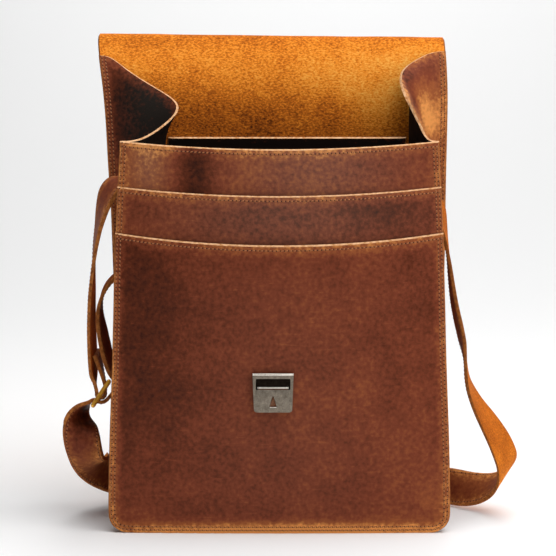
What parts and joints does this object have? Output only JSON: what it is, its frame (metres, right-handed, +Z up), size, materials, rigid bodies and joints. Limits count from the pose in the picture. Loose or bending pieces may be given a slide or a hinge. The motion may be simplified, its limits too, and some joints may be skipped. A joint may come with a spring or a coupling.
{
  "type": "leather satchel",
  "caption": "Tall leather satchel standing open: tiered front pockets, folded side gussets, a flap thrown back, a tuck lock and a shoulder strap with a slide buckle.",
  "frame": {"origin": "bottom centre of the whole satchel's box, on the floor that it stands on", "axes": "+Z up, -Y towards the front with the lock, +X to the viewer's right"},
  "size_m": [0.4094, 0.1592, 0.4359],
  "materials": {
    "grain_leather": "oiled pull-up grain, satin",
    "suede_leather": "flesh side, matt nap",
    "antique_nickel": "worn antique plate",
    "brass": "polished"
  },
  "bodies": {
    "bag": {"back_flap": "suede_leather", "gusset": "grain_leather", "front_panel": "grain_leather", "middle_pocket": "grain_leather", "front_pocket": "grain_leather", "divider": "grain_leather", "lock_plate": "antique_nickel", "lock_tongue": "antique_nickel", "strap_short": "grain_leather", "strap_long": "grain_leather", "buckle_frame": "brass"},
    "catch": {"lock_slide": "antique_nickel"}
  },
  "joints": [
    {"name": "catch_press", "type": "slide", "parent": "bag", "child": "catch", "axis": [0, 0, -1], "range_m": [0, 0.002], "stiffness_N_per_m": 400, "springref_m": -0.002}
  ]
}
